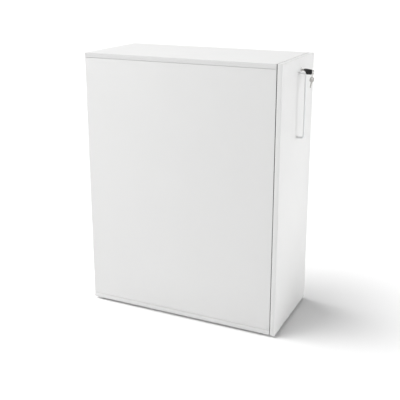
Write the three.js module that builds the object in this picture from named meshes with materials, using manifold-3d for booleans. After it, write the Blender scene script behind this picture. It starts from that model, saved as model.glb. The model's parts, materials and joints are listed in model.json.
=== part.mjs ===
// Deep, narrow pull-out locker cabinet: a board carcass on levelling feet that holds a full-height
// pull-out. The pull-out is a front panel with a frame of rails, trays and a rear board behind it, and
// it runs on four ball-bearing slides. A bow handle and a cam lock with its key sit on the front.
// Millimetres, +Z up. The front faces -Y, and +X is to the right of someone facing the front.
// The origin is on the floor, at the middle of the overall box, which the spare key's reach lengthens.
import * as THREE from 'three';
import { mergeVertices } from 'three/addons/utils/BufferGeometryUtils.js';
import Module from 'manifold-3d';

const wasm = await Module();
wasm.setup();

// ---------------------------------------------------------------- driving dimensions
const WIDTH = 400;
const DEPTH = 850; // front face to rear edge, without handle and keys
const HEIGHT = 1100; // floor to top
const FLOOR_GAP = 10; // floor to the underside of the bottom panel
const BOARD = 19; // carcass and front boards
const FRAME_BOARD = 16; // boards of the pull-out's frame
const BACK_BOARD = 8;
const FRONT_GAP = 3.2; // shadow gap between the front panel and the carcass
const SIDE_INSET = 0.5; // top and bottom panels stand this far proud of the side panels
const FIT = 0.3; // gap between pieces that touch
const SLIDE_ROOM = 12.9; // side panel to frame rail, the room that one slide takes
const SLIDE_LENGTH = 700;
const TRAVEL_ROOM = 2; // slide set back from the carcass's front edge
const ROUND = 12; // sides of a small round rod or hole

const HANDLE_SPACING = 256; // between the two legs
const HANDLE_TOP_LEG = HEIGHT - 58;
const HANDLE_REACH = 28.5; // front face to the middle of the grip
const HANDLE_ROD = 4; // radius
const HANDLE_BEND = 11;

const LOCK_X = 32;
const LOCK_Z = HEIGHT - 49;
const KEY_HINGE = 14.5; // front face to the folding key's hinge pin
const KEY_DROOP = THREE.MathUtils.degToRad(4); // the folding head hangs this far below level
const EYE_MIDDLE = 32.5; // hinge pin to the ring, along the head
const EYE_FLOOR = 10.4; // hinge pin down to the edge that the ring hangs on, square to the head
const RING_RADIUS = 10; // to the middle of the wire
const RING_WIRE = 1;
const RING_LEAN = THREE.MathUtils.degToRad(5); // the ring's foot leans towards the front panel
const SPARE_BOW = 9.2;
const SPARE_HOLE = 2.4;
const SPARE_RIM = 2.5; // metal between the hole and the bow's top
const SPARE_LENGTH = 43;
const SPARE_LEAN = THREE.MathUtils.degToRad(9); // the spare key's tip leans the same way

// Front face to the top of the ring, and on to the furthest point of the spare key.
const RING_OUT = KEY_HINGE + EYE_MIDDLE * Math.cos(KEY_DROOP) - EYE_FLOOR * Math.sin(KEY_DROOP);
const SPARE_HANG = SPARE_HOLE - RING_WIRE - FIT; // wire's middle to the hole's middle
const SPARE_OUT = RING_OUT - 2 * RING_RADIUS * Math.sin(RING_LEAN);
const BOW_DROP = SPARE_HANG + SPARE_BOW - SPARE_HOLE - SPARE_RIM; // wire's middle to the bow's
const KEY_REACH = SPARE_OUT - BOW_DROP * Math.sin(SPARE_LEAN) + SPARE_BOW;
const FACE_Y = KEY_REACH - (DEPTH + KEY_REACH) / 2; // the front face

// ---------------------------------------------------------------- derived places
// Depths are counted inwards from the front face: y(0) is the face, y(DEPTH) the rear edge.
const y = (depth) => FACE_Y + depth;
const CARCASS_FRONT = BOARD + FRONT_GAP;
const BOTTOM_TOP = FLOOR_GAP + BOARD;
const TOP_UNDER = HEIGHT - BOARD;
const SIDE_OUT = WIDTH / 2 - SIDE_INSET;
const SIDE_IN = SIDE_OUT - BOARD;
const BACK_FRONT = DEPTH - 18; // front of the back panel
const GROOVE = 8;
const RAIL_OUT = SIDE_IN - SLIDE_ROOM;
const RAIL_IN = RAIL_OUT - FRAME_BOARD;
const REAR_BOARD_FRONT = DEPTH - 44;
const FRAME_BOTTOM = 46;
const FRAME_TOP = HEIGHT - 100;
const LOWER_RAIL_TOP = FRAME_BOTTOM + 120;
const UPPER_RAIL_BOTTOM = FRAME_TOP - 70;
const SLIDE_LEVELS = { lower: 100, upper: 965 };
const TRAY_LEVELS = { lower: 400, upper: 742 }; // underside of each steel tray
const SIDES = { left: -1, right: 1 };

// ---------------------------------------------------------------- finishes
const finish = (color, roughness, metalness = 0) =>
  new THREE.MeshStandardMaterial({ color, roughness, metalness });
const FINISHES = {
  laminate: () => finish(0xececea, 0.55),
  frame: () => finish(0xe6e6e4, 0.6),
  tray: () => finish(0xdfe0e0, 0.5),
  handle: () => finish(0xc3c5c6, 0.35, 0.9),
  zinc: () => finish(0xb4b8ba, 0.4, 0.9),
  nickel: () => finish(0xb9b7b2, 0.25, 1),
  foot: () => finish(0xd8d8d6, 0.5),
  key: () => finish(0x17181a, 0.45),
};

const cabinet = new THREE.Group();
function add(name, slot, geometry) {
  const mesh = new THREE.Mesh(geometry, FINISHES[slot]());
  mesh.name = name;
  cabinet.add(mesh);
}

// ---------------------------------------------------------------- shapes
// Box between two limits on each axis, with the Y limits given as depths.
function block(x0, x1, d0, d1, z0, z1) {
  return new THREE.BoxGeometry(x1 - x0, d1 - d0, z1 - z0)
    .translate((x0 + x1) / 2, y((d0 + d1) / 2), (z0 + z1) / 2);
}

// Outline drawn in X and Z, extruded between two depths.
function alongDepth(shape, d0, d1, curveSegments = 6) {
  const axes = new THREE.Matrix4().makeBasis(
    new THREE.Vector3(1, 0, 0), new THREE.Vector3(0, 0, 1), new THREE.Vector3(0, -1, 0));
  return new THREE.ExtrudeGeometry(shape, { depth: d1 - d0, bevelEnabled: false, curveSegments })
    .applyMatrix4(axes)
    .translate(0, y(d1), 0);
}

// Outline drawn in Y and Z, extruded along X about the plane x = 0.
function plate(shape, thickness, curveSegments = 6) {
  const axes = new THREE.Matrix4().makeBasis(
    new THREE.Vector3(0, 1, 0), new THREE.Vector3(0, 0, 1), new THREE.Vector3(1, 0, 0));
  return new THREE.ExtrudeGeometry(shape, { depth: thickness, bevelEnabled: false, curveSegments })
    .translate(0, 0, -thickness / 2)
    .applyMatrix4(axes);
}

// Round rod along X, between two limits.
function rodAcross(radius, x0, x1, atY, atZ, sides = ROUND) {
  return new THREE.CylinderGeometry(radius, radius, x1 - x0, sides)
    .rotateZ(Math.PI / 2)
    .translate((x0 + x1) / 2, atY, atZ);
}

// Round rod along the depth, between two depths.
function rodInwards(radius, d0, d1, atX, atZ, sides = ROUND) {
  return new THREE.CylinderGeometry(radius, radius, d1 - d0, sides)
    .translate(atX, y((d0 + d1) / 2), atZ);
}

// Upright round rod.
function rodUp(radius, z0, z1, atX, atY, sides = ROUND) {
  return new THREE.CylinderGeometry(radius, radius, z1 - z0, sides)
    .rotateX(Math.PI / 2)
    .translate(atX, atY, (z0 + z1) / 2);
}

function outline(points) {
  return new THREE.Shape(points.map(([a, b]) => new THREE.Vector2(a, b)));
}

function toSolid(geometry) {
  const bare = geometry.clone();
  bare.deleteAttribute('normal');
  bare.deleteAttribute('uv');
  const merged = mergeVertices(bare, 1e-3);
  return new wasm.Manifold(new wasm.Mesh({
    numProp: 3,
    vertProperties: merged.attributes.position.array,
    triVerts: new Uint32Array(merged.index.array),
  }));
}

function toGeometry(solid) {
  const mesh = solid.getMesh();
  return new THREE.BufferGeometry()
    .setAttribute('position', new THREE.BufferAttribute(mesh.vertProperties, 3))
    .setIndex(new THREE.BufferAttribute(mesh.triVerts, 1));
}

const cut = (body, ...tools) =>
  toGeometry(tools.reduce((solid, tool) => solid.subtract(toSolid(tool)), toSolid(body)));

const join = (...bodies) =>
  toGeometry(bodies.map(toSolid).reduce((whole, piece) => whole.add(piece)));

// ---------------------------------------------------------------- levelling feet
const FOOT_X = WIDTH / 2 - 20;
const FOOT_DEPTHS = { front: CARCASS_FRONT + 38, rear: DEPTH - 38 };
const STEM = 4;
const SOCKET = 6.4;

function eachFoot(make) {
  for (const [end, depth] of Object.entries(FOOT_DEPTHS)) {
    for (const [side, sign] of Object.entries(SIDES)) {
      make(`${end}_${side}`, sign * FOOT_X, y(depth));
    }
  }
}

function footGeometry(x, yAt) {
  const radius = 11;
  const profile = [
    [0, 0], [radius - 1, 0], [radius, 1], [radius, 5], [radius - 2, FLOOR_GAP - 1.5],
    [STEM, FLOOR_GAP - 1.5], [STEM, BOTTOM_TOP - 2], [0, BOTTOM_TOP - 2],
  ];
  return new THREE.LatheGeometry(profile.map(([r, z]) => new THREE.Vector2(r, z)), 20)
    .rotateX(Math.PI / 2)
    .translate(x, yAt, 0);
}

const socketBores = [];
eachFoot((place, x, yAt) => {
  socketBores.push(rodUp(SOCKET + FIT, FLOOR_GAP - 1, BOTTOM_TOP + 1, x, yAt, 16));
  add(`levelling_foot_${place}`, 'foot', footGeometry(x, yAt));
  add(`foot_socket_${place}`, 'zinc', cut(
    rodUp(SOCKET, FLOOR_GAP, BOTTOM_TOP - 5, x, yAt, 16),
    rodUp(STEM + FIT, FLOOR_GAP - 1, BOTTOM_TOP, x, yAt, 20),
  ));
});

// ---------------------------------------------------------------- carcass
const backGrooveFloor = block(-SIDE_IN - GROOVE, SIDE_IN + GROOVE,
  BACK_FRONT - FIT, BACK_FRONT + BACK_BOARD + FIT, BOTTOM_TOP - GROOVE, BOTTOM_TOP + 1);
const backGrooveTop = block(-SIDE_IN - GROOVE, SIDE_IN + GROOVE,
  BACK_FRONT - FIT, BACK_FRONT + BACK_BOARD + FIT, TOP_UNDER - 1, TOP_UNDER + GROOVE);

add('bottom_panel', 'laminate', cut(
  block(-WIDTH / 2, WIDTH / 2, CARCASS_FRONT, DEPTH, FLOOR_GAP, BOTTOM_TOP),
  backGrooveFloor, ...socketBores));
add('top_panel', 'laminate', cut(
  block(-WIDTH / 2, WIDTH / 2, CARCASS_FRONT, DEPTH, TOP_UNDER, HEIGHT), backGrooveTop));
for (const [side, sign] of Object.entries(SIDES)) {
  const [x0, x1] = [sign * SIDE_IN, sign * SIDE_OUT].sort((a, b) => a - b);
  const [g0, g1] = [sign * (SIDE_IN - 1), sign * (SIDE_IN + GROOVE)].sort((a, b) => a - b);
  add(`${side}_side_panel`, 'laminate', cut(
    block(x0, x1, CARCASS_FRONT, DEPTH, BOTTOM_TOP + FIT, TOP_UNDER - FIT),
    block(g0, g1, BACK_FRONT - FIT, BACK_FRONT + BACK_BOARD + FIT, BOTTOM_TOP, TOP_UNDER)));
}
add('back_panel', 'laminate', block(
  -SIDE_IN - GROOVE + 1, SIDE_IN + GROOVE - 1, BACK_FRONT, BACK_FRONT + BACK_BOARD,
  BOTTOM_TOP - GROOVE + 1, TOP_UNDER + GROOVE - 1));

// Angle plate under the top panel that the lock's cam swings up behind.
const STRIKE_DEPTH = CARCASS_FRONT + 3;
const STRIKE_SHEET = 1.5;
const STRIKE_LIP = 12;
const STRIKE_FLANGE = 22;
const STRIKE_WIDTH = 44;
const strikeTop = TOP_UNDER - FIT;
add('lock_strike_plate', 'zinc', new THREE.ExtrudeGeometry(
  outline([
    [y(STRIKE_DEPTH), strikeTop - STRIKE_LIP],
    [y(STRIKE_DEPTH + STRIKE_SHEET), strikeTop - STRIKE_LIP],
    [y(STRIKE_DEPTH + STRIKE_SHEET), strikeTop - STRIKE_SHEET],
    [y(STRIKE_DEPTH + STRIKE_FLANGE), strikeTop - STRIKE_SHEET],
    [y(STRIKE_DEPTH + STRIKE_FLANGE), strikeTop], [y(STRIKE_DEPTH), strikeTop],
  ]), { depth: STRIKE_WIDTH, bevelEnabled: false })
  .applyMatrix4(new THREE.Matrix4().makeBasis(
    new THREE.Vector3(0, 1, 0), new THREE.Vector3(0, 0, 1), new THREE.Vector3(1, 0, 0)))
  .translate(LOCK_X - STRIKE_WIDTH / 2, 0, 0));

// ---------------------------------------------------------------- slides
// Three nested channels. Their section is drawn from the side panel (u = 0) to the frame rail.
const SHEET = 1.2;
const SLIDE_SECTIONS = {
  outer: channel(FIT, 9.2, 22.5, 2.2),
  middle: channel(2.8, 10.4, 18.4, 0),
  inner: channel(SLIDE_ROOM - FIT, 5.4, 14.4, 0),
};

// Channel with its web at u = web and its flanges running to u = edge, with small lips turned in.
function channel(web, edge, half, lip) {
  const inwards = Math.sign(edge - web);
  const upper = [
    [web, half], [edge, half],
    ...(lip ? [[edge, half - SHEET - lip], [edge - inwards * SHEET, half - SHEET - lip],
      [edge - inwards * SHEET, half - SHEET]] : [[edge, half - SHEET]]),
    [web + inwards * SHEET, half - SHEET],
  ];
  const lower = upper.map(([u, z]) => [u, -z]).reverse();
  return [...upper, ...lower];
}

for (const [level, z] of Object.entries(SLIDE_LEVELS)) {
  for (const [side, sign] of Object.entries(SIDES)) {
    for (const [member, section] of Object.entries(SLIDE_SECTIONS)) {
      const shape = outline(section.map(([u, dz]) => [sign * (SIDE_IN - u), z + dz]));
      const start = CARCASS_FRONT + TRAVEL_ROOM;
      add(`slide_${member}_${level}_${side}`, 'zinc', alongDepth(shape, start, start + SLIDE_LENGTH));
    }
  }
}

// ---------------------------------------------------------------- pull-out frame
const PIN = 2.5;
const PIN_X = 130;
const PIN_DEEP = 10;
const frameFront = BOARD + FIT;
const frameRear = REAR_BOARD_FRONT - FIT;

// Where the shelf pins stand: under each tray, in the front panel and in the rear board.
function eachPin(make) {
  for (const [level, trayUnder] of Object.entries(TRAY_LEVELS)) {
    const z = trayUnder - FIT - PIN;
    for (const [side, sign] of Object.entries(SIDES)) {
      make(`shelf_pin_${level}_front_${side}`, sign * PIN_X, z, BOARD);
      make(`shelf_pin_${level}_rear_${side}`, sign * PIN_X, z, REAR_BOARD_FRONT);
    }
  }
}

const pinHoles = { front: [], rear: [] };
eachPin((name, x, z, face) => {
  const [end, into] = face === BOARD ? ['front', -1] : ['rear', 1];
  const [h0, h1] = [face + into * (PIN_DEEP + 1), face - into].sort((a, b) => a - b);
  pinHoles[end].push(rodInwards(PIN + FIT, h0, h1, x, z));
  const [p0, p1] = [face + into * PIN_DEEP, face - into * PIN_DEEP].sort((a, b) => a - b);
  add(name, 'nickel', rodInwards(PIN, p0, p1, x, z));
});

for (const [side, sign] of Object.entries(SIDES)) {
  const [x0, x1] = [sign * RAIL_IN, sign * RAIL_OUT].sort((a, b) => a - b);
  add(`lower_rail_${side}`, 'frame', block(x0, x1, frameFront, frameRear, FRAME_BOTTOM, LOWER_RAIL_TOP));
  add(`upper_rail_${side}`, 'frame', block(x0, x1, frameFront, frameRear, UPPER_RAIL_BOTTOM, FRAME_TOP));
}
const betweenRails = RAIL_IN - FIT;
const floorUnder = FRAME_BOTTOM + 6;
const topTrayUnder = UPPER_RAIL_BOTTOM + 6;
add('frame_floor', 'frame', block(-betweenRails, betweenRails, frameFront, frameRear,
  floorUnder, floorUnder + FRAME_BOARD));
add('top_tray_board', 'frame', block(-betweenRails, betweenRails, frameFront, frameRear,
  topTrayUnder, topTrayUnder + FRAME_BOARD));
add('rear_board', 'frame', cut(
  block(-RAIL_OUT, RAIL_OUT, REAR_BOARD_FRONT, REAR_BOARD_FRONT + FRAME_BOARD, FRAME_BOTTOM, FRAME_TOP),
  ...pinHoles.rear));

// Folded steel trays with a low lip along each open side.
const TRAY_SHEET = 2;
const TRAY_LIP = 32;
const trayHalf = RAIL_OUT - 3;
for (const [level, under] of Object.entries(TRAY_LEVELS)) {
  add(`${level}_tray`, 'tray', alongDepth(outline([
    [-trayHalf, under], [trayHalf, under], [trayHalf, under + TRAY_LIP],
    [trayHalf - TRAY_SHEET, under + TRAY_LIP], [trayHalf - TRAY_SHEET, under + TRAY_SHEET],
    [-trayHalf + TRAY_SHEET, under + TRAY_SHEET], [-trayHalf + TRAY_SHEET, under + TRAY_LIP],
    [-trayHalf, under + TRAY_LIP],
  ]), frameFront + 1, frameRear - 1));
}

// ---------------------------------------------------------------- front panel and handle
const HANDLE_LEGS = { upper: HANDLE_TOP_LEG, lower: HANDLE_TOP_LEG - HANDLE_SPACING };
const SCREW = 2;
const SCREW_GRIP = 9; // how far the screw goes into the handle's leg
const SCREW_HEAD = 4;
const SCREW_HEAD_THICK = 2.3;
const HOUSING = 9;

add('front_panel', 'laminate', cut(
  block(-WIDTH / 2, WIDTH / 2, 0, BOARD, FLOOR_GAP, HEIGHT),
  rodInwards(HOUSING + FIT, -1, BOARD + 1, LOCK_X, LOCK_Z, 24),
  ...Object.values(HANDLE_LEGS).map((z) => rodInwards(SCREW + FIT, -1, BOARD + 1, 0, z)),
  ...pinHoles.front));

// The bow's middle line: out from the face, round a bend, down the grip, round a bend, back in.
class BowLine extends THREE.Curve {
  getPoint(t) {
    const straight = HANDLE_REACH - FIT - HANDLE_BEND;
    const bend = (Math.PI / 2) * HANDLE_BEND;
    const grip = HANDLE_SPACING - 2 * HANDLE_BEND;
    const total = 2 * straight + 2 * bend + grip;
    const half = total / 2;
    const along = Math.min(t, 1 - t) * total;
    const toMiddle = HANDLE_SPACING / 2;
    let out = HANDLE_REACH;
    let up = half - along;
    if (along < straight) {
      out = FIT + along;
      up = toMiddle;
    } else if (along < straight + bend) {
      const turn = (along - straight) / HANDLE_BEND;
      out = FIT + straight + HANDLE_BEND * Math.sin(turn);
      up = toMiddle - HANDLE_BEND * (1 - Math.cos(turn));
    }
    const middle = HANDLE_TOP_LEG - toMiddle;
    return new THREE.Vector3(0, y(-out), middle + (t < 0.5 ? up : -up));
  }
}

const rodSection = new THREE.Shape().absarc(0, 0, HANDLE_ROD, 0, 2 * Math.PI);
add('bow_handle', 'handle', cut(
  new THREE.ExtrudeGeometry(rodSection, {
    steps: 48, curveSegments: 7, bevelEnabled: false, extrudePath: new BowLine(),
  }),
  ...Object.values(HANDLE_LEGS).map((z) => rodInwards(SCREW + FIT, -SCREW_GRIP - 1, 1, 0, z))));
for (const [place, z] of Object.entries(HANDLE_LEGS)) {
  add(`handle_screw_${place}`, 'zinc', join(
    rodInwards(SCREW, -SCREW_GRIP, BOARD + 1, 0, z),
    rodInwards(SCREW_HEAD, BOARD + FIT, BOARD + FIT + SCREW_HEAD_THICK, 0, z)));
}

// ---------------------------------------------------------------- cam lock
const CORE = 5.7;
const CORE_OUT = 1.8; // the core's face, in front of the front panel
const ROSETTE = 10.5;
const ROSETTE_OUT = 1.4;
const NUT = 13.4;
const NUT_THICK = 4.7;
const HOUSING_REAR = BOARD + 7.5;
const CAM_DEPTH = BOARD + 9.5;
const CAM_SHEET = 2.5;
const CAM_LENGTH = 25;
const CAM_SQUARE = 3.2;

add('lock_housing', 'nickel', cut(
  join(rodInwards(HOUSING, -1, HOUSING_REAR, LOCK_X, LOCK_Z, 24),
    rodInwards(ROSETTE, -ROSETTE_OUT, -FIT, LOCK_X, LOCK_Z, 24)),
  rodInwards(CORE + FIT, -4, HOUSING_REAR + 1, LOCK_X, LOCK_Z, 20)));
add('lock_nut', 'nickel', cut(
  rodInwards(NUT, BOARD + FIT, BOARD + FIT + NUT_THICK, LOCK_X, LOCK_Z, 6),
  rodInwards(HOUSING + FIT, BOARD, BOARD + 6, LOCK_X, LOCK_Z, 24)));

const square = (half, d0, d1) =>
  block(LOCK_X - half, LOCK_X + half, d0, d1, LOCK_Z - half, LOCK_Z + half);
add('lock_core', 'nickel', cut(
  join(rodInwards(CORE, -CORE_OUT, CAM_DEPTH - FIT, LOCK_X, LOCK_Z, 20),
    square(CAM_SQUARE, CAM_DEPTH - 1, CAM_DEPTH + CAM_SHEET)),
  block(LOCK_X - 1.3, LOCK_X + 1.3, -CORE_OUT - 1, 22, LOCK_Z - 3.9, LOCK_Z + 3.9),
  rodInwards(1.5, CAM_DEPTH - 3, CAM_DEPTH + 4, LOCK_X, LOCK_Z)));

// The cam points to -X when the lock is open, and turns up behind the strike plate.
const camShape = new THREE.Shape()
  .absarc(LOCK_X, LOCK_Z, 7, -Math.PI / 2, Math.PI / 2, false)
  .lineTo(LOCK_X - CAM_LENGTH + 3, LOCK_Z + 7)
  .lineTo(LOCK_X - CAM_LENGTH, LOCK_Z + 4)
  .lineTo(LOCK_X - CAM_LENGTH, LOCK_Z - 4)
  .lineTo(LOCK_X - CAM_LENGTH + 3, LOCK_Z - 7);
add('lock_cam', 'zinc', cut(
  alongDepth(camShape, CAM_DEPTH, CAM_DEPTH + CAM_SHEET),
  square(CAM_SQUARE + FIT, CAM_DEPTH - 1, CAM_DEPTH + CAM_SHEET + 1)));
add('cam_screw', 'zinc', join(
  rodInwards(5, CAM_DEPTH + CAM_SHEET + FIT, CAM_DEPTH + CAM_SHEET + 3, LOCK_X, LOCK_Z, 16),
  rodInwards(1.2, CAM_DEPTH - 2, CAM_DEPTH + CAM_SHEET + 1, LOCK_X, LOCK_Z)));

// ---------------------------------------------------------------- folding key in the lock
const KEY_SHEET = 2;
const KEY_PIN = 1.3;
const KNUCKLE = 5.4;
const GRIP_HALF = 10.6;
const GRIP_START = 5;
const GRIP_END = 29;
const GRIP_DROP = 5.6; // the grip's middle sits this far below the hinge pin
const GRIP_THICK = 5.4;
const TONGUE = 8; // how far the eye reaches into the grip
const EYE_END = 37.5;
const EYE_BAR = 3.4;
const EYE_HALF = EYE_FLOOR - GRIP_DROP + EYE_BAR;

// The blade, its shoulders and the round tang that the head turns on, drawn in depth and height.
function bladeShape() {
  const eye = 4;
  const shank = 3.2;
  const angle = Math.asin(shank / eye);
  const shape = new THREE.Shape()
    .moveTo(21, -1)
    .lineTo(18.5, -3.5)
    .lineTo(-3, -3.5)
    .lineTo(-5, -shank)
    .absarc(-KEY_HINGE, 0, eye, -angle, angle, true)
    .lineTo(-5, shank)
    .lineTo(-3, 3.5)
    .lineTo(18.5, 3.5)
    .lineTo(21, 1);
  shape.holes.push(new THREE.Path().absarc(-KEY_HINGE, 0, KEY_PIN + FIT, 0, 2 * Math.PI));
  return shape;
}

add('key_blade', 'nickel', plate(bladeShape(), KEY_SHEET).translate(LOCK_X, FACE_Y, LOCK_Z));

// Pieces of the head are drawn from the hinge pin outwards (towards -Y) and then hung at the droop.
function hang(geometry) {
  return geometry.rotateX(KEY_DROOP).translate(LOCK_X, y(-KEY_HINGE), LOCK_Z);
}

// Outline of the grip or the eye, centred below the hinge pin.
function roundedBox(p0, p1, half, radius) {
  const low = -GRIP_DROP - half + radius;
  const high = -GRIP_DROP + half - radius;
  return new THREE.Shape()
    .absarc(-p1 + radius, low, radius, Math.PI, 1.5 * Math.PI)
    .absarc(-p0 - radius, low, radius, 1.5 * Math.PI, 2 * Math.PI)
    .absarc(-p0 - radius, high, radius, 0, 0.5 * Math.PI)
    .absarc(-p1 + radius, high, radius, 0.5 * Math.PI, Math.PI);
}

const pocket = (x, p0, p1, half, drop = 0) =>
  new THREE.BoxGeometry(2 * x, p1 - p0, 2 * half).translate(0, -(p0 + p1) / 2, -drop);
const SLOT = KEY_SHEET / 2 + FIT;
add('key_head', 'key', hang(cut(
  join(
    rodAcross(KNUCKLE, -GRIP_THICK / 2, GRIP_THICK / 2, 0, 0, 24),
    pocket(GRIP_THICK / 2, 2, GRIP_START + 2, 5),
    plate(roundedBox(GRIP_START, GRIP_END, GRIP_HALF, 4), GRIP_THICK)),
  pocket(SLOT, -KNUCKLE - 1, GRIP_START, GRIP_HALF),
  pocket(SLOT, GRIP_END - TONGUE - FIT, GRIP_END + 1, 5 + FIT, GRIP_DROP),
  rodAcross(KEY_PIN + FIT, -GRIP_THICK, GRIP_THICK, 0, 0))));
add('key_hinge_pin', 'nickel', hang(rodAcross(KEY_PIN, -GRIP_THICK / 2, GRIP_THICK / 2, 0, 0)));

// Steel eye that stands out of the head's end, with a tongue in the head's pocket.
const eyeShape = roundedBox(GRIP_END + FIT, EYE_END, EYE_HALF, 3);
eyeShape.holes.push(new THREE.Path(
  roundedBox(GRIP_END + FIT + 1.2, EYE_END - 2.5, EYE_HALF - EYE_BAR, 1.5).getPoints(3)));
add('key_eye', 'nickel', hang(join(
  plate(eyeShape, KEY_SHEET),
  pocket(KEY_SHEET / 2, GRIP_END - TONGUE, GRIP_END + FIT + 1, 5, GRIP_DROP))));

// ---------------------------------------------------------------- key ring and spare key
// The ring's wire rests on the lower edge of the eye's opening and hangs in a plane across the depth.
const eyeDrop = EYE_MIDDLE * Math.sin(KEY_DROOP) + EYE_FLOOR * Math.cos(KEY_DROOP);
const RING_TOP = LOCK_Z - eyeDrop + RING_WIRE + 2 * FIT;
add('key_ring', 'nickel', new THREE.TorusGeometry(RING_RADIUS, RING_WIRE, 8, 28)
  .rotateX(Math.PI / 2)
  .translate(0, 0, -RING_RADIUS)
  .rotateX(RING_LEAN)
  .translate(LOCK_X, y(-RING_OUT), RING_TOP));

// The spare key hangs from the bottom of the ring by the hole in its bow.
function spareShape() {
  const blade = 3.2;
  const top = SPARE_HOLE + SPARE_RIM;
  const bowMiddle = top - SPARE_BOW;
  const tip = top - SPARE_LENGTH;
  const angle = Math.asin(blade / SPARE_BOW);
  const shape = new THREE.Shape()
    .moveTo(blade, tip + 2.5)
    .absarc(0, bowMiddle, SPARE_BOW, -Math.PI / 2 + angle, (3 * Math.PI) / 2 - angle, false)
    .lineTo(-blade, tip + 2.5)
    .lineTo(-1, tip)
    .lineTo(1, tip);
  shape.holes.push(new THREE.Path().absarc(0, 0, SPARE_HOLE, 0, 2 * Math.PI));
  return shape;
}

const ringFoot = RING_TOP - 2 * RING_RADIUS * Math.cos(RING_LEAN);
add('spare_key', 'nickel', plate(spareShape(), KEY_SHEET, 8)
  .translate(0, 0, -SPARE_HANG)
  .rotateX(SPARE_LEAN)
  .translate(LOCK_X, y(-SPARE_OUT), ringFoot));

export default cabinet;
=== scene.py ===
"""Visual model of a pull-out locker cabinet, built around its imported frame.

The boards get edge banding and pin holes, the slides their balls and screws, and the handle, lock, keys
and feet are made finely. Everything is in metres, in the frame's own axes: +Z up, the front towards -Y.
"""
import json
import math

import bmesh
import bpy
from mathutils import Matrix, Vector


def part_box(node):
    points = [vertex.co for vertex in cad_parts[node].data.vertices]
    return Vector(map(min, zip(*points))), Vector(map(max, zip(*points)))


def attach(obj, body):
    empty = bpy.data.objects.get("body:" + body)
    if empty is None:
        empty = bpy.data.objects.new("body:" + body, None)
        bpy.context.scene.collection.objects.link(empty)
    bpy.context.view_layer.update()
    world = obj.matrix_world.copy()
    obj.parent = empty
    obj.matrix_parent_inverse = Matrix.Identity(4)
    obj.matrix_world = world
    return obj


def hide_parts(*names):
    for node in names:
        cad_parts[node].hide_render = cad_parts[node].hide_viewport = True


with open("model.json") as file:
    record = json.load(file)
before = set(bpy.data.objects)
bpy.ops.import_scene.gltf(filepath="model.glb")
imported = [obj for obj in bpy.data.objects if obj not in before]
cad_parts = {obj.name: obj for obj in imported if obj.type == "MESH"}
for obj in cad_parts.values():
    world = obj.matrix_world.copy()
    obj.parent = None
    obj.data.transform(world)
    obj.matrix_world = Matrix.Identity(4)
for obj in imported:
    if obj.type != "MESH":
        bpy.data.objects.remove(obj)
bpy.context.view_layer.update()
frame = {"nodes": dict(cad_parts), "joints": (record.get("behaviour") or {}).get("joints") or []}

bl_info = {
    "name": "Pull-out Locker Cabinet",
    "version": (1, 0, 0),
    "blender": (4, 5, 0),
    "location": "View3D > Sidebar > Cabinet",
    "description": "Builds the finished boards, slides, handle, lock and keys of a pull-out cabinet",
    "category": "Object",
}

# ------------------------------ places taken from the frame
FRONT_LO, FRONT_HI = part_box("front_panel")
FACE = FRONT_LO.y
BACK_OF_FRONT = FRONT_HI.y
JOINTS = {joint["name"]: joint for joint in frame["joints"]}
LOCK = Vector(JOINTS["lock_turn"]["pos_m"])
HINGE = Vector(JOINTS["key_fold"]["pos_m"])
RING_PIVOT = Vector(JOINTS["key_ring_swing"]["pos_m"])
SPARE_PIVOT = Vector(JOINTS["spare_key_swing"]["pos_m"])
SIDES = {"left": -1, "right": 1}
LEVELS = ("lower", "upper")
ENDS = ("front", "rear")
KEY_DROOP = math.radians(4)  # the folding head hangs this far below level
RING_LEAN = math.radians(5)  # the ring's lower end hangs this far in towards the cabinet
SPARE_LEAN = math.radians(9)  # and so does the spare key's tip
SLIDE_SHEET = 0.0012  # thickness of the slides' steel
SHARP_EDGE = math.radians(35)  # edges that bend more than this stay crisp

BANDED = {
    # board: body, finish, sides that carry edge banding (the first ones run through at the corners)
    "top_panel": ("cabinet", "laminate", ("-x", "+x", "-y", "+y")),
    "bottom_panel": ("cabinet", "laminate", ("-x", "+x", "-y", "+y")),
    "left_side_panel": ("cabinet", "laminate", ("-y", "+y")),
    "right_side_panel": ("cabinet", "laminate", ("-y", "+y")),
    "front_panel": ("pull_out", "laminate", ("-x", "+x", "-z", "+z")),
    "rear_board": ("pull_out", "frame", ("-x", "+x", "-z", "+z")),
    "frame_floor": ("pull_out", "frame", ("-y", "+y")),
    "top_tray_board": ("pull_out", "frame", ("-y", "+y")),
    **{f"{level}_rail_{side}": ("pull_out", "frame", ("-z", "+z"))
       for level in LEVELS for side in SIDES},
}


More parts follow.
